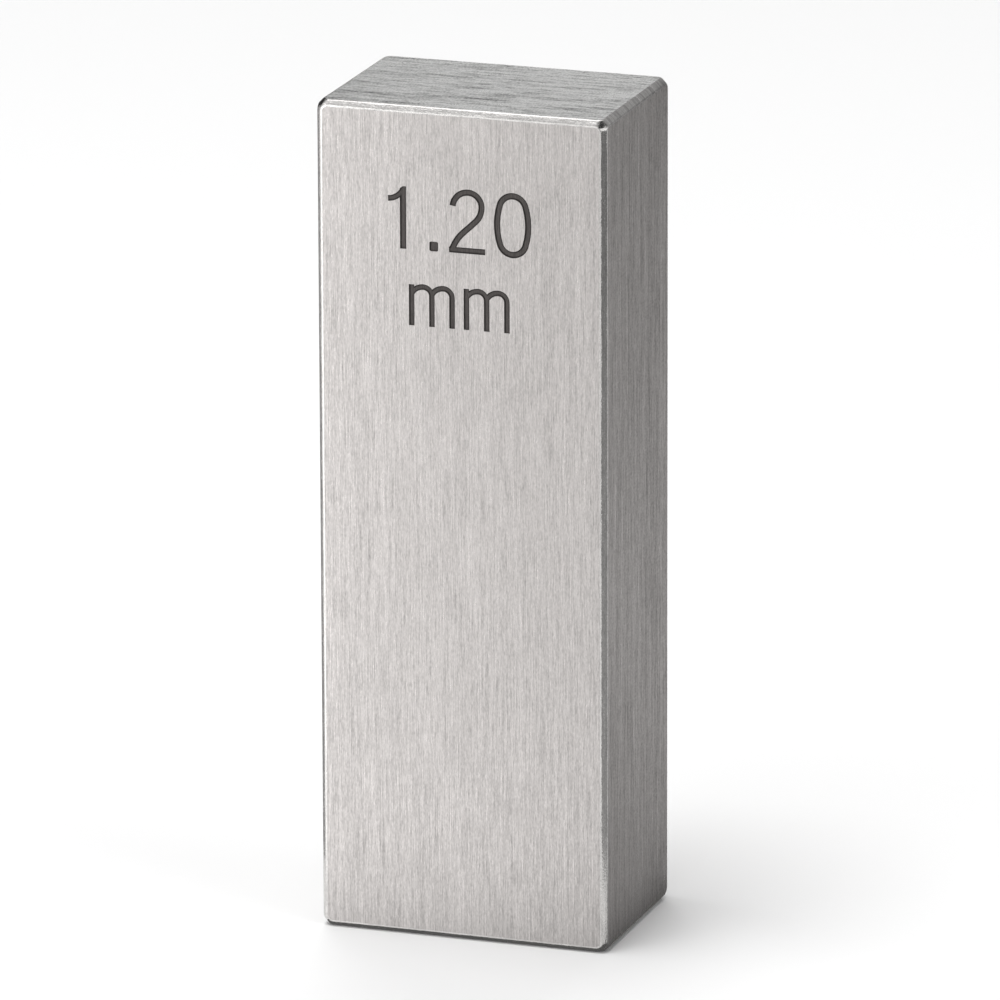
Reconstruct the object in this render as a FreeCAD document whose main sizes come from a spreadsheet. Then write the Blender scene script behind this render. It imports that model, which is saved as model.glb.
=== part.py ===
"""Steel gauge block, standing on end: one ground prism with every edge bevelled and every arris softly broken.

The origin is the centre of the base and +Z is up. The two measuring faces look along -X and +X, the side that
carries the size mark looks along -Y. All sizes are in millimetres and live in the spreadsheet "sizes".
"""

import FreeCAD, Part
import os

import Sketcher

FOLDER = "parts"

# Alias in the spreadsheet, its value and what it measures.
SIZES = (
    ("gauging_length", 12.35, "between the two measuring faces, along X"),
    ("section_depth", 8.25, "short side of the measuring faces, along Y"),
    ("section_height", 35.0, "long side of the measuring faces, along Z"),
    ("bevel_leg", 0.21, "leg of the 45 degree bevel on all twelve edges"),
    ("arris_radius", 0.15, "round where a bevel meets a face or another bevel"),
)

RECTANGLE_CORNERS = ((-1, -1), (1, -1), (1, 1), (-1, 1))
START, END = 1, 2
ORIGIN_POINT = (-1, 1)


def make_sheet(doc):
    """Writes the driving sizes to a spreadsheet, one aliased cell a row."""
    sheet = doc.addObject("Spreadsheet::Sheet", "sizes")
    for row, (alias, value, meaning) in enumerate(SIZES, start=1):
        sheet.set(f"A{row}", alias)
        sheet.set(f"B{row}", str(value))
        sheet.setAlias(f"B{row}", alias)
        sheet.set(f"C{row}", meaning)
    doc.recompute()
    return sheet


def origin_plane(body, role):
    """The body's own origin plane with this role, such as XY_Plane."""
    return next(item for item in body.Origin.OriginFeatures if item.Role == role)


def draw_section(body, sheet):
    """The block's plan: a rectangle centred on the origin, its two sides bound to the sheet."""
    sketch = body.newObject("Sketcher::SketchObject", "section")
    sketch.AttachmentSupport = [(origin_plane(body, "XY_Plane"), "")]
    sketch.MapMode = "FlatFace"
    half_length = sheet.gauging_length / 2
    half_depth = sheet.section_depth / 2
    corners = [FreeCAD.Vector(x * half_length, y * half_depth, 0) for x, y in RECTANGLE_CORNERS]
    sides = [
        sketch.addGeometry(Part.LineSegment(start, end), False)
        for start, end in zip(corners, corners[1:] + corners[:1])
    ]
    front, right, back, left = sides
    for side, following in zip(sides, sides[1:] + sides[:1]):
        sketch.addConstraint(Sketcher.Constraint("Coincident", side, END, following, START))
    for side in (front, back):
        sketch.addConstraint(Sketcher.Constraint("Horizontal", side))
    for side in (right, left):
        sketch.addConstraint(Sketcher.Constraint("Vertical", side))
    sketch.addConstraint(Sketcher.Constraint("Symmetric", front, START, back, START, *ORIGIN_POINT))
    for name, kind, side, size in (
        ("length", "DistanceX", front, sheet.gauging_length),
        ("depth", "DistanceY", right, sheet.section_depth),
    ):
        index = sketch.addConstraint(Sketcher.Constraint(kind, side, START, side, END, size))
        sketch.renameConstraint(index, name)
    sketch.setExpression("Constraints.length", "sizes.gauging_length")
    sketch.setExpression("Constraints.depth", "sizes.section_depth")
    return sketch


def make_block(doc, sheet):
    """Pads the plan to full height, bevels the twelve edges, then breaks every arris that this leaves."""
    body = doc.addObject("PartDesign::Body", "gauge_block")
    body.Label = "gauge_block"
    section = draw_section(body, sheet)
    doc.recompute()

    blank = body.newObject("PartDesign::Pad", "ground_blank")
    blank.Profile = section
    blank.setExpression("Length", "sizes.section_height")
    doc.recompute()

    bevels = body.newObject("PartDesign::Chamfer", "edge_bevels")
    bevels.Base = (blank, [f"Edge{index}" for index in range(1, len(blank.Shape.Edges) + 1)])
    bevels.setExpression("Size", "sizes.bevel_leg")
    doc.recompute()

    arrises = body.newObject("PartDesign::Fillet", "broken_arrises")
    arrises.Base = (bevels, [f"Edge{index}" for index in range(1, len(bevels.Shape.Edges) + 1)])
    arrises.setExpression("Radius", "sizes.arris_radius")
    doc.recompute()

    body.Tip = arrises
    body.Placement = FreeCAD.Placement()
    return body


def check(doc, bodies):
    """Stops the build if any object failed, or a sub-part isn't one valid solid."""
    for item in doc.Objects:
        if "Invalid" in item.State or "Error" in item.State:
            raise RuntimeError(f"{item.Name} failed: {item.State}")
    for body in bodies:
        shape = body.Shape
        if shape.isNull() or not shape.isValid() or len(shape.Solids) != 1:
            raise RuntimeError(f"{body.Label} isn't one valid solid")


def main():
    """Builds the document, checks it and writes each sub-part's solid."""
    doc = FreeCAD.newDocument("gauge_block_document")
    sheet = make_sheet(doc)
    bodies = [make_block(doc, sheet)]
    doc.recompute()
    check(doc, bodies)
    os.makedirs(FOLDER, exist_ok=True)
    for body in bodies:
        body.Shape.exportStep(f"{FOLDER}/{body.Label}.step")
        box = body.Shape.BoundBox
        print(f"{body.Label}: {box.XLength:.3f} x {box.YLength:.3f} x {box.ZLength:.3f} mm,"
              f" {body.Shape.Volume:.2f} mm3, {len(body.Shape.Faces)} faces")


main()
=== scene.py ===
"""Looks of the steel gauge block: brushed faces, ground bevels, etched size mark and a plain studio round it,
with painted reflections that only the steel sees.

Lengths named _mm are in millimetres and everything that Blender holds is in metres.
"""

import logging
import math
from dataclasses import dataclass, field
from enum import Enum
from typing import Callable, Sequence

import bpy
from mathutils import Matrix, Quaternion, Vector


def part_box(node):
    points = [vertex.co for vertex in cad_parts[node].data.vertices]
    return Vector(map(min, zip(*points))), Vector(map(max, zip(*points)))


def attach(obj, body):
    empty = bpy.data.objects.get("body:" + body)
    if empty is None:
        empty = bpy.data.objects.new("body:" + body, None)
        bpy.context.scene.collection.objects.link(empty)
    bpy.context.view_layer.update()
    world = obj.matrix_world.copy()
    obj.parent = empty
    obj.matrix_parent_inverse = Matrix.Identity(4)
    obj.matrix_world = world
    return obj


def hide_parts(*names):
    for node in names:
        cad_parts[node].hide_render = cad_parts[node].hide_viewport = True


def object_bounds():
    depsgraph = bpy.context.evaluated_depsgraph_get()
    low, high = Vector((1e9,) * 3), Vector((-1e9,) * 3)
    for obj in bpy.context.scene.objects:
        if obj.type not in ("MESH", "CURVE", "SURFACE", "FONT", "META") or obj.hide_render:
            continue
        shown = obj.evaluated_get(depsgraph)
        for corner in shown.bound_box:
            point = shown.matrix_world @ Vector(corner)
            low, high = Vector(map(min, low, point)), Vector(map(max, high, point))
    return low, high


logging.basicConfig(level=logging.INFO, format="%(name)s: %(message)s")
log = logging.getLogger("gauge_block_scene")

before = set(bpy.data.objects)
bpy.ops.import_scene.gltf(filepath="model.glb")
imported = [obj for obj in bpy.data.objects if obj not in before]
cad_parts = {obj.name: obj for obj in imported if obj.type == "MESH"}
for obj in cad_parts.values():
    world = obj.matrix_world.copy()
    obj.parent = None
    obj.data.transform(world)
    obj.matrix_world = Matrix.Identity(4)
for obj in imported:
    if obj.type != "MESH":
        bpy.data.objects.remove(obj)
CAD_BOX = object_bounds()

MM = 0.001
NODE = "gauge_block"
BODY = "root"
RIGHT_TURN = math.radians(90)
BEVEL_SLOPE = math.radians(45)
UP, RIGHT = 90.0, 0.0  # headings of a stroke, in degrees
FLATNESS_MM = 0.001  # how far a face's middle may lie from the marked side and still count as in it
STRAIGHT = 0.9999  # least part of a face's direction along an axis for it to count as square to it
DARKEST, LIGHTEST = 0.2, 1.6  # how far the grinding lines may scale a colour
NOISE_GAIN = 8.0  # brings the noise texture, which spreads an eighth about a half, to a spread of one


# --------------------------------------------------------------------------------------------------
# Small helpers
# --------------------------------------------------------------------------------------------------


def linear(hex_colour: str) -> tuple[float, float, float, float]:
    """Turns an sRGB hex colour to the linear colour that a shader takes.

    Args:
        hex_colour: Six hex digits with a leading hash.

    Returns:
        Linear red, green, blue and an alpha of 1.
    """
    channels = (int(hex_colour[i : i + 2], 16) / 255 for i in (1, 3, 5))
    red, green, blue = (c / 12.92 if c <= 0.04045 else ((c + 0.055) / 1.055) ** 2.4 for c in channels)
    return red, green, blue, 1.0


def add_node(
    tree: bpy.types.NodeTree, kind: str, settings: dict | None = None, links: dict | None = None
) -> bpy.types.Node:
    """Adds a node, sets it up and links its inputs.

    Args:
        tree: The node tree to add to.
        kind: The node's type, such as ShaderNodeMath.
        settings: Attribute names, or input numbers or names, to their values.
        links: Input numbers or names to the output sockets that feed them.

    Returns:
        The new node.
    """
    node = tree.nodes.new(kind)
    for key, value in (settings or {}).items():
        if isinstance(key, str) and hasattr(node, key):
            setattr(node, key, value)
        else:
            node.inputs[key].default_value = value
    for key, output in (links or {}).items():
        tree.links.new(output, node.inputs[key])
    return node


def new_material(name: str) -> tuple[bpy.types.Material, bpy.types.NodeTree]:
    """Makes an empty node material.

    Args:
        name: The material's name.

    Returns:
        The material and its node tree.
    """
    material = bpy.data.materials.new(name)
    material.use_nodes = True
    material.node_tree.nodes.clear()
    return material, material.node_tree


def only(piece: bpy.types.Object) -> None:
    """Selects this object alone and makes it active.

    Args:
        piece: The object to work on.
    """
    bpy.ops.object.select_all(action="DESELECT")
    piece.select_set(True)
    bpy.context.view_layer.objects.active = piece


def settle(piece: bpy.types.Object) -> None:
    """Moves the object's place, turn and size into its mesh.

    Args:
        piece: The object to settle.
    """
    only(piece)
    bpy.ops.object.transform_apply(location=True, rotation=True, scale=True)


# --------------------------------------------------------------------------------------------------
# Finishes
# --------------------------------------------------------------------------------------------------


class Grain(Enum):
    """The way the grinding lines run: for X, Y and Z in turn, whether the lines are long that way."""

    UPRIGHT = (0, 0, 1)
    CROSSWISE = (1, 0, 0)
    OVER_THE_EDGE = (1, 0, 1)


@dataclass(frozen=True)
class Streaks:
    """One family of grinding lines.

    Attributes:
        width_mm: Width of a line across the grain.
        length_mm: Length of a line along the grain.
        weight: How much this family counts in the sum.
    """

    width_mm: float
    length_mm: float
    weight: float


# Real grinding lines are a few thousandths of a millimetre wide, too fine to show. Each family below is drawn
# as coarse as it needs to show: single scratches, short and long, and the broad faint bands between them.

# The marked side and the back: thin, even, upright lines.
FACE_STREAKS = (
    Streaks(0.036, 0.12, 1.5),
    Streaks(0.036, 0.45, 1.5),
    Streaks(0.040, 2.5, 1.7),
    Streaks(0.10, 7.0, 0.45),
    Streaks(0.18, 18.0, 0.4),
    Streaks(0.7, 30.0, 0.28),
)
# The measuring faces: lines about three times as wide.
SIDE_STREAKS = (
    Streaks(0.11, 0.10, 1.4),
    Streaks(0.11, 0.5, 1.3),
    Streaks(0.13, 3.0, 1.6),
    Streaks(0.26, 9.0, 0.6),
    Streaks(0.5, 18.0, 0.5),
    Streaks(1.4, 30.0, 0.4),
)
# The two ends: the coarsest lines, with short dark scratches and broad clouds.
END_STREAKS = (
    Streaks(0.17, 0.08, 1.3),
    Streaks(0.17, 0.35, 1.0),
    Streaks(0.19, 1.2, 1.5),
    Streaks(0.26, 3.0, 1.2),
    Streaks(0.6, 8.0, 0.6),
    Streaks(2.4, 4.0, 0.5),
)
# The bevels that the stone went along: nicks and short lines.
BEVEL_STREAKS = (
    Streaks(0.05, 0.09, 1.1),
    Streaks(0.08, 0.45, 1.0),
    Streaks(0.14, 1.6, 0.9),
)
# The bevels that the stone went over: notches across the edge, about four to the millimetre.
NOTCH_STREAKS = (
    Streaks(0.08, 0.12, 0.5),
    Streaks(0.12, 3.0, 1.0),
    Streaks(0.27, 5.0, 1.2),
)


def grinding_lines(
    tree: bpy.types.NodeTree, grain: Grain, streaks: Sequence[Streaks]
) -> bpy.types.NodeSocket:
    """Adds the nodes that sum families of grinding lines, centred on nought with a spread near one.

    Args:
        tree: The node tree to add to.
        grain: The way the lines run.
        streaks: The families of lines.

    Returns:
        Socket with the sum.
    """
    place = add_node(tree, "ShaderNodeTexCoord")
    total = add_node(tree, "ShaderNodeValue")
    total.outputs[0].default_value = 0.0
    power = math.sqrt(sum(family.weight**2 for family in streaks))
    for family in streaks:
        across, along = 1 / (family.width_mm * MM), 1 / (family.length_mm * MM)
        scale = tuple(along if is_long else across for is_long in grain.value)
        stretched = add_node(
            tree, "ShaderNodeVectorMath", {"operation": "MULTIPLY", 1: scale}, {0: place.outputs["Object"]}
        )
        noise = add_node(
            tree,
            "ShaderNodeTexNoise",
            {"Scale": 1.0, "Detail": 1.0, "Roughness": 0.5},
            {"Vector": stretched.outputs[0]},
        )
        share = NOISE_GAIN * family.weight / power
        centred = add_node(
            tree,
            "ShaderNodeMath",
            {"operation": "MULTIPLY_ADD", 1: share, 2: -share / 2},
            {0: noise.outputs["Fac"]},
        )
        total = add_node(
            tree, "ShaderNodeMath", {"operation": "ADD"}, {0: total.outputs[0], 1: centred.outputs[0]}
        )
    return total.outputs[0]


def tinted(
    tree: bpy.types.NodeTree, hex_colour: str, lines: bpy.types.NodeSocket, contrast: float
) -> bpy.types.NodeSocket:
    """Adds the nodes that lighten and darken a colour by the lines.

    Args:
        tree: The node tree to add to.
        hex_colour: The mean colour, sRGB hex.
        lines: Socket with the lines.
        contrast: How far one standard deviation of the lines changes the colour.

    Returns:
        Socket with the colour.
    """
    gain = add_node(tree, "ShaderNodeMath", {"operation": "MULTIPLY_ADD", 1: contrast, 2: 1.0}, {0: lines})
    limited = add_node(tree, "ShaderNodeClamp", {"Min": DARKEST, "Max": LIGHTEST}, {"Value": gain.outputs[0]})
    colour = add_node(
        tree,
        "ShaderNodeVectorMath",
        {"operation": "SCALE", 0: linear(hex_colour)[:3]},
        {"Scale": limited.outputs[0]},
    )
    return colour.outputs[0]


def varied(
    tree: bpy.types.NodeTree, lines: bpy.types.NodeSocket, mean: float, change: float
) -> bpy.types.NodeSocket:
    """Adds the node that varies a roughness by the lines.

    Args:
        tree: The node tree to add to.
        lines: Socket with the lines.
        mean: The mean roughness.
        change: How far one standard deviation of the lines changes it.

    Returns:
        Socket with the roughness.
    """
    settings = {"operation": "MULTIPLY_ADD", 1: change, 2: mean, "use_clamp": True}
    return add_node(tree, "ShaderNodeMath", settings, {0: lines}).outputs[0]


def bumped(tree: bpy.types.NodeTree, lines: bpy.types.NodeSocket, depth_mm: float) -> bpy.types.NodeSocket:
    """Adds the node that gives the lines height.

    Args:
        tree: The node tree to add to.
        lines: Socket with the lines.
        depth_mm: Their height.

    Returns:
        Socket with the normal.
    """
    settings = {"Strength": 1.0, "Distance": depth_mm * MM}
    return add_node(tree, "ShaderNodeBump", settings, {"Height": lines}).outputs[0]


@dataclass(frozen=True)
class BrushedSteel:
    """Hardened tool steel, ground and brushed in one direction.

    To the eye it is a satin grey metal with fine lines, and it smears what it reflects across the grain.

    Attributes:
        name: The material's name.
        colour: Mean reflection colour, sRGB hex.
        grain: The way the lines run.
        streaks: The families of lines.
        contrast: How far the lines lighten and darken the colour, one standard deviation.
        roughness: Mean roughness.
        roughness_spread: How far the lines change the roughness.
        anisotropy: How much more the surface smears across the grain than along it.
        depth_mm: Height of the lines, for the bump.
    """

    name: str
    colour: str
    grain: Grain
    streaks: tuple[Streaks, ...]
    contrast: float = 0.12
    roughness: float = 0.36
    roughness_spread: float = 0.05
    anisotropy: float = 0.7
    depth_mm: float = 0.0006

    def material(self) -> bpy.types.Material:
        """Builds the material."""
        material, tree = new_material(self.name)
        lines = grinding_lines(tree, self.grain, self.streaks)
        grain_axis = "Z" if self.grain is Grain.UPRIGHT else "X"
        tangent = add_node(tree, "ShaderNodeTangent", {"direction_type": "RADIAL", "axis": grain_axis})
        shader = add_node(
            tree,
            "ShaderNodeBsdfPrincipled",
            {"Metallic": 1.0, "Anisotropic": self.anisotropy},
            {
                "Base Color": tinted(tree, self.colour, lines, self.contrast),
                "Roughness": varied(tree, lines, self.roughness, -self.roughness_spread),
                "Normal": bumped(tree, lines, self.depth_mm),
                "Tangent": tangent.outputs[0],
            },
        )
        add_node(tree, "ShaderNodeOutputMaterial", links={"Surface": shader.outputs[0]})
        return material


@dataclass(frozen=True)
class GroundBevel:
    """Hardened tool steel whose edges were broken by hand with a stone.

    To the eye it is brighter than the faces: its colour is lighter than theirs as a painted highlight, while its
    sharper glint, nicks and the marks of the stone are its own.

    Attributes:
        name: The material's name.
        colour: Mean reflection colour, sRGB hex.
        grain: The way the stone went.
        streaks: The families of its lines and nicks.
        contrast: How far the lines lighten and darken the colour, one standard deviation.
        roughness: Mean roughness.
        roughness_spread: How far the lines change the roughness.
        depth_mm: Height of the lines, for the bump.
    """

    name: str
    colour: str
    grain: Grain
    streaks: tuple[Streaks, ...] = BEVEL_STREAKS
    contrast: float = 0.10
    roughness: float = 0.2
    roughness_spread: float = 0.04
    depth_mm: float = 0.0015

    def material(self) -> bpy.types.Material:
        """Builds the material."""
        material, tree = new_material(self.name)
        lines = grinding_lines(tree, self.grain, self.streaks)
        shader = add_node(
            tree,
            "ShaderNodeBsdfPrincipled",
            {"Metallic": 1.0},
            {
                "Base Color": tinted(tree, self.colour, lines, self.contrast),
                "Roughness": varied(tree, lines, self.roughness, self.roughness_spread),
                "Normal": bumped(tree, lines, self.depth_mm),
            },
        )
        add_node(tree, "ShaderNodeOutputMaterial", links={"Surface": shader.outputs[0]})
        return material


@dataclass(frozen=True)
class EtchedSteel:
    """Tool steel etched and blackened.

    To the eye it is a dull, warm near-black with the ghost of the grinding lines in it.

    Attributes:
        name: The material's name.
        colour: Colour of the oxide, sRGB hex.
        contrast: How far the ghost of the lines lightens and darkens it, one standard deviation.
        roughness: Its roughness.
        depth_mm: Height of the lines left in it, for the bump.
    """

    name: str
    colour: str
    contrast: float = 0.2
    roughness: float = 0.6
    depth_mm: float = 0.001

    def material(self) -> bpy.types.Material:
        """Builds the material."""
        material, tree = new_material(self.name)
        lines = grinding_lines(tree, Grain.UPRIGHT, FACE_STREAKS)
        shader = add_node(
            tree,
            "ShaderNodeBsdfPrincipled",
            {"Metallic": 0.0, "Roughness": self.roughness},
            {
                "Base Color": tinted(tree, self.colour, lines, self.contrast),
                "Normal": bumped(tree, lines, self.depth_mm),
            },
        )
        add_node(tree, "ShaderNodeOutputMaterial", links={"Surface": shader.outputs[0]})
        return material


# --------------------------------------------------------------------------------------------------
# The etched size mark
# --------------------------------------------------------------------------------------------------


@dataclass(frozen=True)
class Run:
    """A straight stretch of a stroke."""

    length_mm: float


@dataclass(frozen=True)
class Bend:
    """A round stretch of a stroke: positive turns go left, seen from in front of the marked side."""

    radius_mm: float
    turn_deg: float


@dataclass(frozen=True)
class Stroke:
    """One groove of the mark, of even width, as a cutter would follow it.

    Attributes:
        start_mm: Where the groove's middle starts, across and up, from the mark's own origin.
        heading_deg: The way it sets off, anticlockwise from straight right.
        path: Its stretches in order.
        width_mm: Its width at the surface.
        round_mm: How far its four corners are rounded back.
        snub_mm: How far the left corner of its far end is cut back.
    """

    start_mm: tuple[float, float]
    heading_deg: float
    path: tuple[Run | Bend, ...]
    width_mm: float
    round_mm: float = 0.0
    snub_mm: float = 0.0


def oval(half_width_mm: float, half_height_mm: float, end_radius_mm: float) -> tuple[Bend, ...]:
    """Works out a four-centred oval, from its right-most point upwards and round to the left.

    Args:
        half_width_mm: Half its width, to the groove's middle.
        half_height_mm: Half its height.
        end_radius_mm: Radius of its two tight ends.

    Returns:
        The bends that close it.
    """
    a, b, r = half_width_mm, half_height_mm, end_radius_mm
    side_radius = (a * a + b * b - 2 * b * r) / (2 * (a - r))
    side_turn = math.degrees(math.atan2(b - r, side_radius - a))
    end = Bend(r, 180 - 2 * side_turn)
    half_side, side = Bend(side_radius, side_turn), Bend(side_radius, 2 * side_turn)
    return half_side, end, side, end, half_side


@dataclass
class SizeMark:
    """The nominal size in plain numerals over its unit, etched into the marked side.

    A stroke's place is across from the middle of the marked side and up from the base of the block.

    Attributes:
        baseline_mm: Height of the numerals' feet above the base of the block.
        unit_baseline_mm: Height of the unit's feet above the base of the block.
        digit_mm: Stroke width of the numerals.
        unit_mm: Stroke width of the unit.
        depth_mm: Depth of the etched grooves.
        slope_mm: How far each wall leans in from the surface to the floor.
        proud_mm: How far the cutters start outside the surface.
        steps_per_turn: Flats in a full circle of a bend.
        corner_steps: Flats in a rounded corner of a groove.
        weld_mm: Distance under which two points of a cutter become one.
    """

    baseline_mm: float = 29.088
    unit_baseline_mm: float = 25.915
    digit_mm: float = 0.268
    unit_mm: float = 0.236
    depth_mm: float = 0.05
    slope_mm: float = 0.055
    proud_mm: float = 0.02
    steps_per_turn: int = 72
    corner_steps: int = 3
    weld_mm: float = 0.0005

    def one(self) -> list[Stroke]:
        """The numeral one: an upright and a curved flag."""
        base, upright_at, height, snub = self.baseline_mm, -2.447, 2.6, 0.09
        flag_at, flag_rise, flag_heading, flag_width = -3.085, 2.06, 2, 0.24
        return [
            Stroke((upright_at, base), UP, (Run(height),), self.digit_mm, snub_mm=snub),
            Stroke((flag_at, base + flag_rise), flag_heading, (Bend(0.75, 56), Run(0.1)), flag_width),
        ]

    def point(self) -> list[Stroke]:
        """The decimal point: a short wide groove with rounded corners."""
        across, drop, height, width, corner = -1.142, 0.01, 0.405, 0.37, 0.06
        return [Stroke((across, self.baseline_mm - drop), UP, (Run(height),), width, round_mm=corner)]

    def two(self) -> list[Stroke]:
        """The numeral two: a hooked neck and a straight foot."""
        base = self.baseline_mm
        neck_at, neck_rise, neck_heading, neck_width = -0.3275, 1.955, 81, 0.26
        foot_at, foot_rise, foot_length, foot_width = -0.49, 0.127, 1.542, 0.244
        hook = (Run(0.04), Bend(0.655, -81), Bend(0.577, -90), Bend(0.855, -47))
        neck = (*hook, Run(0.72), Bend(1.755, 30))
        return [
            Stroke((neck_at, base + neck_rise), neck_heading, neck, neck_width),
            Stroke((foot_at, base + foot_rise), RIGHT, (Run(foot_length),), foot_width),
        ]

    def nought(self) -> list[Stroke]:
        """The numeral nought: a closed oval."""
        middle, rise, half_width, half_height, end_radius = 2.2223, 1.328, 0.6626, 1.219, 0.565
        ring = oval(half_width, half_height, end_radius)
        return [Stroke((middle + half_width, self.baseline_mm + rise), UP, ring, self.digit_mm)]

    def letter_m(self, left_mm: float) -> list[Stroke]:
        """One letter m of the unit: an upright and two arches.

        Args:
            left_mm: Where the middle of its left upright stands, across.

        Returns:
            Its strokes.
        """
        base, height, pitch, spring = self.unit_baseline_mm, 1.715, 0.8625, 1.265
        arch = (Run(spring), Bend(0.37, 90), Bend(0.56, 64))
        strokes = [Stroke((left_mm, base), UP, (Run(height),), self.unit_mm)]
        for upright in (1, 2):
            strokes.append(Stroke((left_mm + upright * pitch, base), UP, arch, self.unit_mm))
        return strokes

    def strokes(self) -> list[Stroke]:
        """All grooves of the mark."""
        first_left, second_left = -2.0975, 0.2428
        unit = self.letter_m(first_left) + self.letter_m(second_left)
        return self.one() + self.point() + self.two() + self.nought() + unit

    def cutter(self, stroke: Stroke, face_y: float) -> bpy.types.Object:
        """Models the solid that cuts one groove: a tapered section drawn along the stroke.

        Args:
            stroke: The groove to cut.
            face_y: Where the marked side lies, in metres along Y.

        Returns:
            The cutter.
        """
        heading = math.radians(stroke.heading_deg)
        start = Vector((stroke.start_mm[0] * MM, face_y, stroke.start_mm[1] * MM))
        forward = Vector((math.cos(heading), 0, math.sin(heading)))
        left = Vector((-forward.z, 0, forward.x))
        depth = (self.depth_mm + self.proud_mm) * MM
        middle = start + Vector((0, (self.depth_mm - self.proud_mm) / 2 * MM, 0))
        lean = self.slope_mm / self.depth_mm
        wide = stroke.width_mm * MM + 2 * lean * self.proud_mm * MM
        narrow = stroke.width_mm * MM - 2 * self.slope_mm * MM

        bpy.ops.object.select_all(action="DESELECT")
        bpy.ops.mesh.primitive_plane_add(size=1, location=(0, 0, 0))
        piece = bpy.context.active_object
        mesh = piece.data
        for vertex in mesh.vertices:
            outside = vertex.co.y < 0
            across = (wide if outside else narrow) * vertex.co.x
            vertex.co = middle + left * across + Vector((0, depth * vertex.co.y, 0))
        bpy.ops.object.mode_set(mode="EDIT")
        bpy.ops.mesh.select_all(action="SELECT")
        for stretch in stroke.path:
            if isinstance(stretch, Run):
                step = forward * stretch.length_mm * MM
                bpy.ops.mesh.extrude_region_move(TRANSFORM_OT_translate={"value": step})
                start = start + step
                continue
            turn = math.radians(stretch.turn_deg)
            side = math.copysign(1, turn)
            centre = start + left * (side * stretch.radius_mm * MM)
            steps = max(2, round(abs(stretch.turn_deg) / 360 * self.steps_per_turn))
            bpy.ops.mesh.spin(steps=steps, angle=turn, center=centre, axis=(0, 1, 0))
            start = centre + Quaternion((0, -1, 0), turn) @ (start - centre)
            forward = Quaternion((0, -1, 0), turn) @ forward
            left = Vector((-forward.z, 0, forward.x))
        bpy.ops.mesh.select_all(action="SELECT")
        bpy.ops.mesh.remove_doubles(threshold=self.weld_mm * MM)
        bpy.ops.mesh.select_mode(type="FACE")
        bpy.ops.mesh.select_all(action="DESELECT")
        bpy.ops.mesh.select_interior_faces()
        bpy.ops.mesh.delete(type="FACE")
        bpy.ops.mesh.select_all(action="SELECT")
        bpy.ops.mesh.normals_make_consistent(inside=False)
        bpy.ops.object.mode_set(mode="OBJECT")
        if stroke.round_mm:
            self.trim(piece, stroke.round_mm, self.corner_steps, lambda place: True)
        if stroke.snub_mm:
            near = stroke.width_mm * MM / 2
            self.trim(
                piece,
                stroke.snub_mm,
                1,
                lambda place: (place - start).dot(left) > 0 and abs((place - start).dot(forward)) < near,
            )
        return piece

    @staticmethod
    def trim(piece: bpy.types.Object, size_mm: float, steps: int, wanted: Callable[[Vector], bool]) -> None:
        """Bevels the corners of a straight cutter, which are its edges into the steel.

        Args:
            piece: The cutter.
            size_mm: How far they are cut back.
            steps: Flats in each.
            wanted: Tells from the middle of a corner whether it is bevelled.
        """
        only(piece)
        bpy.context.tool_settings.mesh_select_mode = (False, True, False)
        mesh = piece.data
        for part in (*mesh.vertices, *mesh.edges, *mesh.polygons):
            part.select = False
        for edge in mesh.edges:
            low, high = (mesh.vertices[index].co for index in edge.vertices)
            way = high - low
            runs_in = abs(way.y) > way.length / 2
            edge.select = runs_in and wanted((low + high) / 2)
        bpy.ops.object.mode_set(mode="EDIT")
        bpy.ops.mesh.bevel(offset_type="OFFSET", offset=size_mm * MM, segments=steps, affect="EDGES")
        bpy.ops.object.mode_set(mode="OBJECT")


# --------------------------------------------------------------------------------------------------
# The block
# --------------------------------------------------------------------------------------------------


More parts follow.
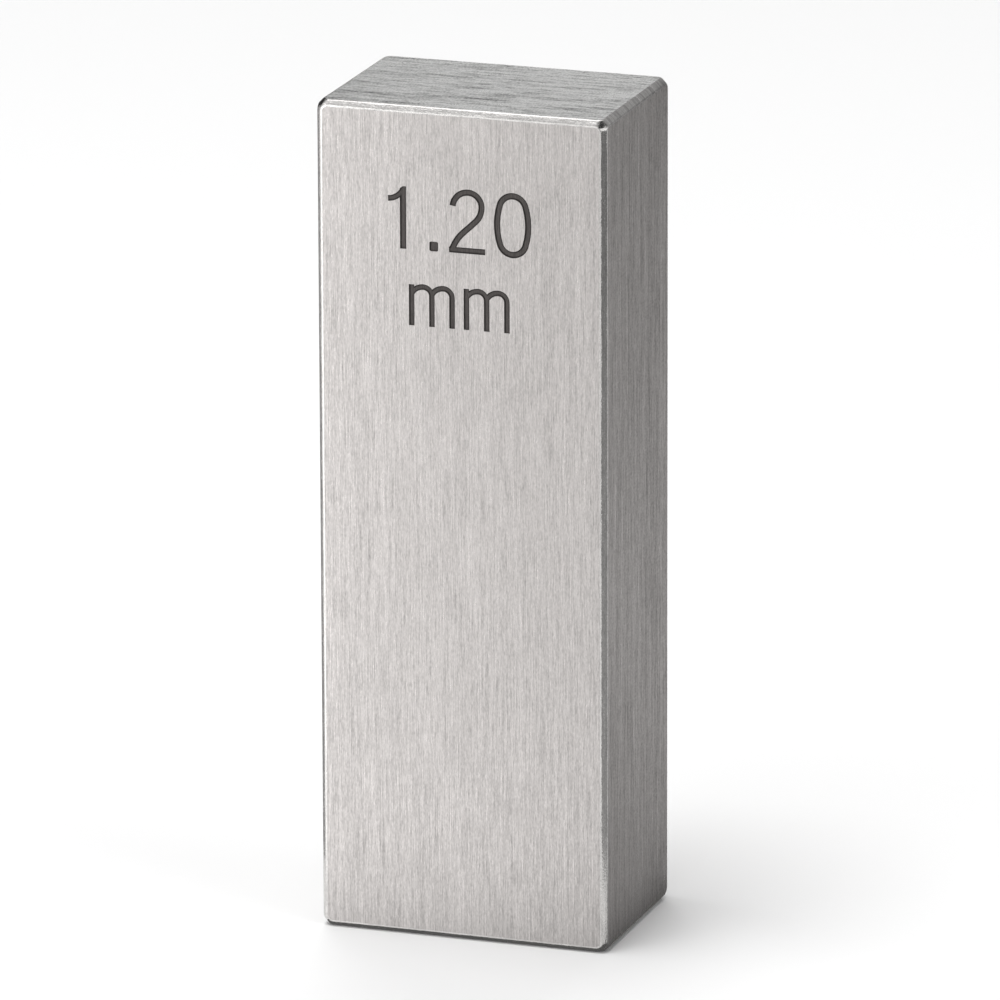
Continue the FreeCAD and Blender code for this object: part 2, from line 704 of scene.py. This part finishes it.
@dataclass
class Block:
    """The block itself, with its bevels, broken arrises and etched mark.

    Attributes:
        bevel_leg_mm: Leg of the 45 degree bevel on every edge.
        arris_radius_mm: Round where a bevel meets a face or another bevel.
        arris_steps: Flats in that round.
        corner_radius_mm: Round of the four corners of each flat face's outline.
        corner_steps: Flats in that round.
        flat_deg: Neighbouring faces that turn less than this become one.
        mark: The etched size mark.
        sides: Finish of the marked side and the back.
        measuring: Finish of the two measuring faces.
        ends: Finish of the top and the underside.
        upright_bevels: Finish of the four bevels that stand upright.
        long_bevels: Finish of the four bevels along the feet and heads of the marked side and the back.
        notched_bevels: Finish of the four bevels along the feet and heads of the measuring faces.
        etch: Finish of the floors of the grooves.
        shaded_etch_wall: Finish of the walls of the grooves.
    """

    bevel_leg_mm: float = 0.21
    arris_radius_mm: float = 0.15
    arris_steps: int = 4
    corner_radius_mm: float = 0.22
    corner_steps: int = 6
    flat_deg: float = 0.3
    mark: SizeMark = field(default_factory=SizeMark)
    # Tool steel brushed upright: satin, slightly warm grey, with fine even upright lines.
    sides: BrushedSteel = BrushedSteel(
        "brushed_tool_steel_upright_grain", "#bdb9b7", Grain.UPRIGHT, FACE_STREAKS
    )
    # The same steel on the measuring faces: the upright lines are wider and show more.
    measuring: BrushedSteel = BrushedSteel(
        "brushed_tool_steel_measuring_faces", "#bdb9b7", Grain.UPRIGHT, SIDE_STREAKS, contrast=0.15
    )
    # The same steel on the ends, ground along X: coarse dark and light lines on a neutral grey.
    ends: BrushedSteel = BrushedSteel(
        "brushed_tool_steel_cross_grain", "#bcbcbb", Grain.CROSSWISE, END_STREAKS, contrast=0.36
    )
    # Stoned upright edges: a narrow bright glint with short nicks along it, coloured lighter than the faces as a
    # painted highlight.
    upright_bevels: GroundBevel = GroundBevel("ground_tool_steel_upright_bevel", "#cfcdcb", Grain.UPRIGHT)
    # Stoned long edges: the stone went along them, so the glint runs on nearly unbroken; coloured lighter than
    # the faces as a painted highlight.
    long_bevels: GroundBevel = GroundBevel("ground_tool_steel_long_bevel", "#cfcdcb", Grain.CROSSWISE)
    # Stoned short edges: the stone went over them, so the glint is broken up by notches; coloured lighter than
    # the faces as a painted highlight.
    notched_bevels: GroundBevel = GroundBevel(
        "ground_tool_steel_notched_bevel", "#cfcdcb", Grain.OVER_THE_EDGE, NOTCH_STREAKS, contrast=0.16
    )
    # Etched and blackened groove floors: dull, warm, dark grey that reflects next to nothing.
    etch: EtchedSteel = EtchedSteel("etched_blackened_steel", "#474240")
    # Groove walls: the same blackened etch, coloured nearly black as painted shade in the grooves, a dark rim
    # round each stroke.
    shaded_etch_wall: EtchedSteel = EtchedSteel("etched_groove_wall_painted_shade", "#1f1b19")

    def outline(self, place: Vector, size: Sequence[float], axis: int, round_mm: float) -> bpy.types.Object:
        """Makes one flat sheet with rounded corners.

        Args:
            place: Its middle, in metres.
            size: Its size, in metres, one along the axis it faces.
            axis: The axis it faces: 0, 1 or 2.
            round_mm: Radius of its corners.

        Returns:
            The sheet, with its place in its mesh.
        """
        turns = ((0, RIGHT_TURN, 0), (RIGHT_TURN, 0, 0), (0, 0, 0))
        bpy.ops.object.select_all(action="DESELECT")
        bpy.ops.mesh.primitive_plane_add(size=1, location=place, rotation=turns[axis])
        sheet = bpy.context.active_object
        bpy.ops.object.transform_apply(location=False, rotation=True, scale=False)
        sheet.scale = size
        settle(sheet)
        bpy.ops.object.mode_set(mode="EDIT")
        bpy.ops.mesh.select_all(action="SELECT")
        bpy.ops.mesh.bevel(
            offset_type="OFFSET", offset=round_mm * MM, segments=self.corner_steps, affect="VERTICES"
        )
        bpy.ops.object.mode_set(mode="OBJECT")
        return sheet

    def shape(self) -> bpy.types.Object:
        """Models the solid: the flat faces and the rings of their broken arrises, skinned tightly.

        Each ring stands a little lower and wider than its flat face, on the arc that turns from face to bevel.

        Returns:
            The block, without its mark.
        """
        low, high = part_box(NODE)
        middle, half = (low + high) / 2, (high - low) / 2
        radius = self.arris_radius_mm * MM
        inset = self.bevel_leg_mm * MM + radius * math.tan(BEVEL_SLOPE / 2)
        rings = []
        for axis in range(3):
            for side in (-1, 1):
                for step in range(self.arris_steps + 1):
                    angle = BEVEL_SLOPE * step / self.arris_steps
                    spread = radius * math.sin(angle)
                    size = [2 * (length - inset + spread) for length in half]
                    size[axis] = 1.0
                    place = middle.copy()
                    place[axis] += side * (half[axis] - radius * (1 - math.cos(angle)))
                    rings.append(self.outline(place, size, axis, self.corner_radius_mm + spread / MM))
        bpy.ops.object.select_all(action="DESELECT")
        for ring in rings:
            ring.select_set(True)
        bpy.context.view_layer.objects.active = rings[0]
        bpy.ops.object.join()
        piece = bpy.context.active_object
        piece.name = "block_dressed"
        piece.data.name = "block_dressed"
        bpy.ops.object.mode_set(mode="EDIT")
        bpy.ops.mesh.select_all(action="SELECT")
        bpy.ops.mesh.delete(type="ONLY_FACE")
        bpy.ops.mesh.select_all(action="SELECT")
        bpy.ops.mesh.convex_hull(join_triangles=False)
        bpy.ops.mesh.select_all(action="SELECT")
        bpy.ops.mesh.dissolve_limited(angle_limit=math.radians(self.flat_deg))
        bpy.ops.mesh.normals_make_consistent(inside=False)
        bpy.ops.object.mode_set(mode="OBJECT")
        return piece

    def etch_mark(self, piece: bpy.types.Object) -> None:
        """Cuts every groove of the mark into the marked side.

        Args:
            piece: The block.
        """
        face_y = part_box(NODE)[0].y
        for stroke in self.mark.strokes():
            cutter = self.mark.cutter(stroke, face_y)
            only(piece)
            cut = piece.modifiers.new("groove", "BOOLEAN")
            cut.operation = "DIFFERENCE"
            cut.solver = "EXACT"
            cut.object = cutter
            bpy.ops.object.modifier_apply(modifier=cut.name)
            mesh = cutter.data
            bpy.data.objects.remove(cutter)
            bpy.data.meshes.remove(mesh)

    def finish_of(self, normal: Vector, centre: Vector) -> BrushedSteel | GroundBevel | EtchedSteel:
        """Tells the finish of a face from the way it looks and where it lies.

        Args:
            normal: Its outward direction.
            centre: Its middle.

        Returns:
            The finish.
        """
        low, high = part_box(NODE)
        margin = 2 * self.bevel_leg_mm * MM
        to_edges = (centre.x - low.x, high.x - centre.x, centre.z - low.z, high.z - centre.z)
        sunk = FLATNESS_MM * MM < centre.y - low.y < margin
        if sunk and min(to_edges) >= margin:
            # The walls take the darker copy of the etch: painted shade in the grooves.
            return self.etch if abs(normal.y) > STRAIGHT else self.shaded_etch_wall
        for component, flat in ((normal.x, self.measuring), (normal.y, self.sides), (normal.z, self.ends)):
            if abs(component) > STRAIGHT:
                return flat
        along = min(range(3), key=lambda axis: abs(normal[axis]))
        return (self.long_bevels, self.notched_bevels, self.upright_bevels)[along]

    def dress(self, piece: bpy.types.Object) -> None:
        """Gives each face its finish.

        Args:
            piece: The block, marked.
        """
        mesh = piece.data
        mesh.materials.clear()
        slots: dict[str, int] = {}
        for face in mesh.polygons:
            finish = self.finish_of(face.normal, face.center)
            if finish.name not in slots:
                slots[finish.name] = len(slots)
                mesh.materials.append(finish.material())
            face.material_index = slots[finish.name]
            face.use_smooth = isinstance(finish, GroundBevel)

    def build(self) -> bpy.types.Object:
        """Makes, marks and dresses the block.

        Returns:
            The finished piece, riding on the frame in the node's place.
        """
        piece = self.shape()
        self.etch_mark(piece)
        self.dress(piece)
        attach(piece, BODY)
        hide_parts(NODE)
        log.info("%s: %d faces", piece.name, len(piece.data.polygons))
        return piece


# --------------------------------------------------------------------------------------------------
# The studio
# --------------------------------------------------------------------------------------------------


@dataclass(frozen=True)
class Glow:
    """A soft bright patch of the surroundings.

    Attributes:
        towards: The direction of its middle.
        edge_deg: How far from its middle it fades out.
        core_deg: How far from its middle it starts to fade.
        level: Its brightness over the rest.
    """

    towards: tuple[float, float, float]
    edge_deg: float
    core_deg: float
    level: float


def glow_sum(
    tree: bpy.types.NodeTree, direction: bpy.types.NodeSocket, base: float, glows: Sequence[Glow]
) -> bpy.types.NodeSocket:
    """Adds the nodes that sum a level base and soft patches round it.

    Args:
        tree: The node tree to add to.
        direction: Socket with the unit direction looked in.
        base: Brightness where no patch reaches.
        glows: The patches.

    Returns:
        Socket with the brightness.
    """
    total = add_node(tree, "ShaderNodeValue")
    total.outputs[0].default_value = base
    for glow in glows:
        towards = Vector(glow.towards).normalized()
        nearness = add_node(
            tree, "ShaderNodeVectorMath", {"operation": "DOT_PRODUCT", 1: towards}, {0: direction}
        )
        edge, core = (math.cos(math.radians(angle)) for angle in (glow.edge_deg, glow.core_deg))
        patch = add_node(
            tree,
            "ShaderNodeMapRange",
            {"interpolation_type": "SMOOTHSTEP", 1: edge, 2: core, 3: 0.0, 4: glow.level},
            {0: nearness.outputs["Value"]},
        )
        total = add_node(
            tree, "ShaderNodeMath", {"operation": "ADD"}, {0: total.outputs[0], 1: patch.outputs[0]}
        )
    return total.outputs[0]


def for_steel_only(piece: bpy.types.Object) -> None:
    """Keeps a bright or dark sheet of the studio as a painted reflection: only the steel mirrors it, it lights
    nothing and the eye misses it.

    Args:
        piece: The sheet, with its material.
    """
    piece.visible_camera = False
    piece.visible_diffuse = False
    piece.visible_shadow = False
    piece.visible_transmission = False
    piece.data.materials[0].cycles.emission_sampling = "NONE"


@dataclass(frozen=True)
class Sheet:
    """A flat glowing sheet close to the block that only the steel sees: a painted reflection, bright or dark.

    Attributes:
        name: Its name.
        start_mm: One end of its foot.
        end_mm: The other end of its foot.
        rise_mm: From its foot to its top.
        tones: Ways along the rise in millimetres, with the brightness there.
        ends: What the brightness is multiplied by at the two ends of the foot.
    """

    name: str
    start_mm: tuple[float, float, float]
    end_mm: tuple[float, float, float]
    rise_mm: tuple[float, float, float]
    tones: tuple[tuple[float, float], ...]
    ends: tuple[float, float] = (1.0, 1.0)

    def finish(self) -> bpy.types.Material:
        """Builds its glow, a painted reflection: brightness changes evenly from one named tone to the next."""
        material, tree = new_material(self.name)
        place = add_node(tree, "ShaderNodeTexCoord").outputs["Object"]
        rise = Vector(self.rise_mm).normalized()
        start = Vector(self.start_mm).dot(rise) * MM
        up = add_node(tree, "ShaderNodeVectorMath", {"operation": "DOT_PRODUCT", 1: rise}, {0: place})
        tone = add_node(tree, "ShaderNodeValue")
        tone.outputs[0].default_value = self.tones[0][1]
        for (low, low_tone), (high, high_tone) in zip(self.tones, self.tones[1:]):
            step = add_node(
                tree,
                "ShaderNodeMapRange",
                {1: start + low * MM, 2: start + high * MM, 3: 0.0, 4: high_tone - low_tone},
                {0: up.outputs["Value"]},
            )
            tone = add_node(
                tree, "ShaderNodeMath", {"operation": "ADD"}, {0: tone.outputs[0], 1: step.outputs[0]}
            )
        foot = (Vector(self.end_mm) - Vector(self.start_mm)).normalized()
        first, last = (Vector(end).dot(foot) * MM for end in (self.start_mm, self.end_mm))
        along = add_node(tree, "ShaderNodeVectorMath", {"operation": "DOT_PRODUCT", 1: foot}, {0: place})
        factor = add_node(
            tree,
            "ShaderNodeMapRange",
            {1: first, 2: last, 3: self.ends[0], 4: self.ends[1]},
            {0: along.outputs["Value"]},
        )
        tone = add_node(
            tree, "ShaderNodeMath", {"operation": "MULTIPLY"}, {0: tone.outputs[0], 1: factor.outputs[0]}
        )
        # The glow of the painted reflection, not paper lit by the lamps.
        paper = add_node(tree, "ShaderNodeEmission", links={"Strength": tone.outputs[0]})
        add_node(tree, "ShaderNodeOutputMaterial", links={"Surface": paper.outputs[0]})
        return material

    def build(self) -> bpy.types.Object:
        """Models it.

        Returns:
            The sheet.
        """
        start, end, rise = (Vector(way) * MM for way in (self.start_mm, self.end_mm, self.rise_mm))
        bpy.ops.object.select_all(action="DESELECT")
        bpy.ops.mesh.primitive_plane_add(size=1)
        sheet = bpy.context.active_object
        sheet.name = self.name
        for vertex in sheet.data.vertices:
            vertex.co = start + (end - start) * (vertex.co.x + 0.5) + rise * (vertex.co.y + 0.5)
        sheet.data.materials.append(self.finish())
        for_steel_only(sheet)
        return sheet


@dataclass(frozen=True)
class Lamp:
    """A soft round lamp that looks at the block and stays out of its reflections.

    Attributes:
        name: Its name.
        place_mm: Where it hangs.
        size_mm: Its width.
        watts: Its power.
    """

    name: str
    place_mm: tuple[float, float, float]
    size_mm: float
    watts: float

    def build(self) -> bpy.types.Object:
        """Hangs it.

        Returns:
            The lamp.
        """
        data = bpy.data.lights.new(self.name, "AREA")
        data.shape = "DISK"
        data.size = self.size_mm * MM
        data.energy = self.watts
        lamp = bpy.data.objects.new(self.name, data)
        bpy.context.scene.collection.objects.link(lamp)
        middle = (CAD_BOX[0] + CAD_BOX[1]) / 2
        lamp.location = Vector(self.place_mm) * MM
        lamp.rotation_mode = "QUATERNION"
        lamp.rotation_quaternion = (middle - lamp.location).to_track_quat("-Z", "Y")
        lamp.visible_glossy = False
        return lamp


@dataclass
class Studio:
    """A pale floor under a soft sky and an overhead lamp, the painted reflections that only the steel mirrors,
    and the camera.

    Attributes:
        azimuth_deg: How far round to the right of the marked side the camera stands.
        elevation_deg: How far above the horizon it stands.
        roll_deg: How far it leans.
        distance_mm: From the camera to the middle of the block.
        lens_mm: Its focal length.
        aim_mm: How far right and up of the block's middle its axis passes.
        floor_mm: Side of the square floor.
        floor_colour: Its colour, sRGB hex.
        tent_mm: Radius of the glowing tent that only the steel mirrors, a painted reflection.
        tent_segments: Faces round the tent.
        tent_rings: Faces from its foot round to the opposite foot.
        sky_base: Brightness of the sky where no patch reaches.
        sky: Soft patches of the sky, which light the floor.
        tent_base: Brightness of the tent where no patch reaches.
        tent: Soft patches of the tent, painted highlights.
        lamps: The lamps.
        sheets: The glowing sheets that only the steel sees: painted reflections, bright and dark.
    """

    azimuth_deg: float = 18.943
    elevation_deg: float = 15.883
    roll_deg: float = -0.192
    distance_mm: float = 450.1
    lens_mm: float = 396.0
    aim_mm: tuple[float, float] = (0.218, 0.137)
    floor_mm: float = 3000.0
    floor_colour: str = "#e7e7e7"
    tent_mm: float = 1200.0
    tent_segments: int = 64
    tent_rings: int = 32
    sky_base: float = 0.04
    sky: tuple[Glow, ...] = (
        Glow((0.0, 0.0, 1.0), 40, 15, 1.37),
        Glow((0.9, -0.25, 0.35), 25, 5, 4.6),
        Glow((-0.3, 0.91, 0.27), 35, 10, 5.8),
        Glow((-0.3, -0.75, 0.55), 35, 10, 1.96),
    )
    tent_base: float = 0.36
    # Painted highlights: one patch each for the front's upper edge, the long bevel at the front and the arris
    # above it.
    tent: tuple[Glow, ...] = (
        Glow((-0.31, -0.87, 0.38), 28, 12, 1.0),
        Glow((-0.31, -0.27, 0.91), 32, 8, 0.5),
        Glow((-0.31, 0.40, 0.87), 32, 17, 1.65),
    )
    lamps: tuple[Lamp, ...] = (Lamp("overhead", (-60.0, -40.0, 400.0), 200.0, 0.88),)
    sheets: tuple[Sheet, ...] = (
        # Right of the block: a painted reflection in the upright bevel at the right of the marked side, painted
        # shade that darkens upwards, with a narrow bright band just above the block's height as a painted
        # highlight.
        Sheet(
            "right_sheet",
            (14, -16, 0),
            (14, -2, 0),
            (0, 0, 54),
            (
                (0, 0.36), (10, 0.36), (18, 0.31), (30, 0.22), (36, 0.20),
                (37, 1.3), (40, 1.3), (41, 0.04), (54, 0.04),
            ),
        ),
        # Next to it, in the round of that bevel: a painted highlight, a bright bead.
        Sheet("bead_sheet", (14, -2, 0), (14, 2.6, 0), (0, 0, 54), ((0, 0.75), (36, 0.65), (41, 0.1), (54, 0.1))),
        # Behind to the right: a painted reflection that sets the shading of the right measuring face, graded with
        # height, darker towards its foot and its top.
        Sheet(
            "back_sheet",
            (6.25, 6.5, 0),
            (14, 6.5, 0),
            (0, 0, 46),
            (
                (0, 0.30), (3, 0.43), (6, 0.48), (10, 0.53), (16, 0.505), (24, 0.42),
                (33.6, 0.34), (34.4, 0.22), (35.4, 0.22), (36, 0.365), (46, 0.365),
            ),
        ),
        # Beside it: a plain grey painted reflection.
        Sheet("side_sheet", (14, 2.6, 0), (14, 6.5, 0), (0, 0, 46), ((0, 0.36), (46, 0.36))),
        # Left of the block, painted reflections: painted shade in the upright bevel, and a painted highlight in
        # the round beside it.
        Sheet(
            "shade_sheet",
            (-14, -2.6, 0),
            (-12, 10, 0),
            (0, 0, 50),
            ((0, 0.35), (34, 0.35), (36, 0.04), (50, 0.04)),
        ),
        Sheet("light_sheet", (-33, -1, 0), (-18, -32, 0), (0, 0, 60), ((0, 1.5), (60, 1.5)), (0.6, 1.65)),
        # Flat on the floor, where the faces mirror it: by the right measuring face, painted shade that is darkest
        # at the block's foot; in front, a painted reflection of a floor brighter than the real one and brighter
        # to the left, which lightens the marked side towards its foot and its left.
        Sheet(
            "right_floor_sheet",
            (6.3, -4.2, 0.01),
            (6.3, 6.5, 0.01),
            (7.7, 0, 0),
            ((0, 0.12), (1, 0.22), (3, 0.34), (7.7, 0.44)),
        ),
        Sheet(
            "front_floor_sheet",
            (-80, -4.2, 0.01),
            (40, -4.2, 0.01),
            (0, -140, 0),
            ((0, 0.92), (4, 1.08), (10, 1.16), (25, 1.12), (50, 1.00), (90, 0.92), (140, 0.88)),
            (1.2, 0.85),
        ),
        Sheet(
            "near_floor_sheet",
            (-24, -4.2, 0.02),
            (9, -4.2, 0.02),
            (0, -22, 0),
            ((0, 0.90), (4, 1.04), (10, 1.12), (22, 1.12)),
            (1.6, 0.78),
        ),
        # Under the block: painted shade, a dark sheet that the bottom bevels mirror as a dark line of contact
        # shadow.
        Sheet("painted_contact_shadow_sheet", (-6.2, -4.2, 0.005), (-6.2, 4.2, 0.005), (12.5, 0, 0), ((0, 0.13), (12.5, 0.13))),
    )

    def camera(self) -> None:
        """Places the camera."""
        azimuth, elevation = math.radians(self.azimuth_deg), math.radians(self.elevation_deg)
        back = Vector(
            (
                math.sin(azimuth) * math.cos(elevation),
                -math.cos(azimuth) * math.cos(elevation),
                math.sin(elevation),
            )
        )
        turn = (-back).to_track_quat("-Z", "Y") @ Quaternion((0, 0, 1), math.radians(self.roll_deg))
        low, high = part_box(NODE)
        right, up = turn @ Vector((1, 0, 0)), turn @ Vector((0, 1, 0))
        aim = (low + high) / 2 + (right * self.aim_mm[0] + up * self.aim_mm[1]) * MM
        data = bpy.data.cameras.new("camera")
        data.lens = self.lens_mm
        camera = bpy.data.objects.new("camera", data)
        bpy.context.scene.collection.objects.link(camera)
        camera.rotation_mode = "QUATERNION"
        camera.rotation_quaternion = turn
        camera.location = aim + back * self.distance_mm * MM
        bpy.context.scene.camera = camera

    def floor(self) -> None:
        """Lays the floor: pale paper that the eye sees as white where nothing shades it."""
        bpy.ops.object.select_all(action="DESELECT")
        bpy.ops.mesh.primitive_plane_add(size=self.floor_mm * MM)
        floor = bpy.context.active_object
        floor.name = "floor"
        material, tree = new_material("pale_paper")
        paper = add_node(tree, "ShaderNodeBsdfDiffuse", {"Color": linear(self.floor_colour)})
        add_node(tree, "ShaderNodeOutputMaterial", links={"Surface": paper.outputs[0]})
        floor.data.materials.append(material)

    def world(self) -> None:
        """Lights the sky: it lights the floor and is plain white to the eye."""
        world = bpy.data.worlds.new("soft_sky")
        bpy.context.scene.world = world
        world.use_nodes = True
        tree = world.node_tree
        tree.nodes.clear()
        place = add_node(tree, "ShaderNodeTexCoord")
        level = glow_sum(tree, place.outputs["Generated"], self.sky_base, self.sky)
        light = add_node(tree, "ShaderNodeBackground", links={"Strength": level})
        white = add_node(tree, "ShaderNodeBackground", {"Color": linear("#ffffff"), "Strength": 1.0})
        path = add_node(tree, "ShaderNodeLightPath")
        seen = add_node(
            tree,
            "ShaderNodeMixShader",
            links={0: path.outputs["Is Camera Ray"], 1: light.outputs[0], 2: white.outputs[0]},
        )
        add_node(tree, "ShaderNodeOutputWorld", links={"Surface": seen.outputs[0]})
        world.cycles_visibility.glossy = False

    def painted_reflection_tent(self) -> None:
        """Raises the tent, a painted reflection that only the steel mirrors: half a glowing ball, brighter in a
        few soft patches.
        """
        bpy.ops.object.select_all(action="DESELECT")
        bpy.ops.mesh.primitive_uv_sphere_add(
            segments=self.tent_segments, ring_count=self.tent_rings, radius=self.tent_mm * MM
        )
        tent = bpy.context.active_object
        tent.name = "painted_reflection_tent"
        for face in tent.data.polygons:
            face.select = face.center.z < 0
        bpy.ops.object.mode_set(mode="EDIT")
        bpy.ops.mesh.select_mode(type="FACE")
        bpy.ops.mesh.delete(type="FACE")
        bpy.ops.object.mode_set(mode="OBJECT")
        material, tree = new_material("painted_reflection_tent")
        place = add_node(tree, "ShaderNodeTexCoord")
        direction = add_node(
            tree, "ShaderNodeVectorMath", {"operation": "NORMALIZE"}, {0: place.outputs["Object"]}
        )
        level = glow_sum(tree, direction.outputs[0], self.tent_base, self.tent)
        tent_glow = add_node(tree, "ShaderNodeEmission", links={"Strength": level})
        add_node(tree, "ShaderNodeOutputMaterial", links={"Surface": tent_glow.outputs[0]})
        tent.data.materials.append(material)
        for_steel_only(tent)

    def build(self) -> None:
        """Sets up the whole studio."""
        scene = bpy.context.scene
        scene.view_settings.view_transform = "Standard"
        self.floor()
        self.world()
        self.painted_reflection_tent()
        for lamp in self.lamps:
            lamp.build()
        for sheet in self.sheets:
            sheet.build()
        self.camera()
        log.info("studio: %d lamps, %d sheets", len(self.lamps), len(self.sheets))


def main() -> None:
    """Builds the block and the studio."""
    Block().build()
    Studio().build()


if __name__ == "__main__":
    main()
